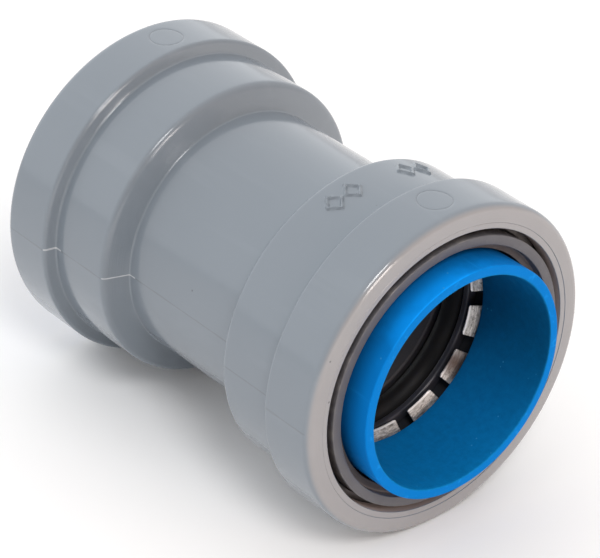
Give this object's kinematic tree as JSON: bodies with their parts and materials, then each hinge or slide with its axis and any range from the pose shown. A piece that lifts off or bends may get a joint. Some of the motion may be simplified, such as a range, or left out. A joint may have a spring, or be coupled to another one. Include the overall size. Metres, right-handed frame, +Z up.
{
  "type": "push-fit coupling",
  "caption": "Straight push-fit coupling for round tube: moulded body with a stepped bell at each end, and a sliding release collar, toothed grip ring and seal in each mouth.",
  "frame": {"origin": "middle of the coupling, on the tube axis", "axes": "+X along the tube axis out of the near mouth, +Z up with the part lying on its bells"},
  "size_m": [0.068, 0.0464, 0.0462],
  "materials": {
    "grey_pvc": "semi-gloss injection moulded",
    "dark_grey_pvc": "satin moulded",
    "blue_nylon": "satin moulded",
    "stainless_steel": "stamped, lightly brushed",
    "spring_steel": "dull stamped",
    "black_nylon": "semi-gloss moulded",
    "black_rubber": "lubricated satin"
  },
  "bodies": {
    "housing": {"coupling_body": "grey_pvc", "near_retaining_cap": "dark_grey_pvc", "near_lock_ring": "spring_steel", "near_grip_ring": "stainless_steel", "near_support_ring": "black_nylon", "near_o_ring": "black_rubber", "far_retaining_cap": "dark_grey_pvc", "far_lock_ring": "spring_steel", "far_grip_ring": "stainless_steel", "far_support_ring": "black_nylon", "far_o_ring": "black_rubber"},
    "near_collar": {"near_release_collar": "blue_nylon"},
    "far_collar": {"far_release_collar": "blue_nylon"}
  },
  "joints": [
    {"name": "near_collar_push", "type": "slide", "parent": "housing", "child": "near_collar", "axis": [-1, 0, 0], "range_m": [0, 0.0017], "stiffness_N_per_m": 600, "deforming": ["near_grip_ring"]},
    {"name": "far_collar_push", "type": "slide", "parent": "housing", "child": "far_collar", "axis": [1, 0, 0], "range_m": [0, 0.0017], "stiffness_N_per_m": 600, "deforming": ["far_grip_ring"]}
  ]
}
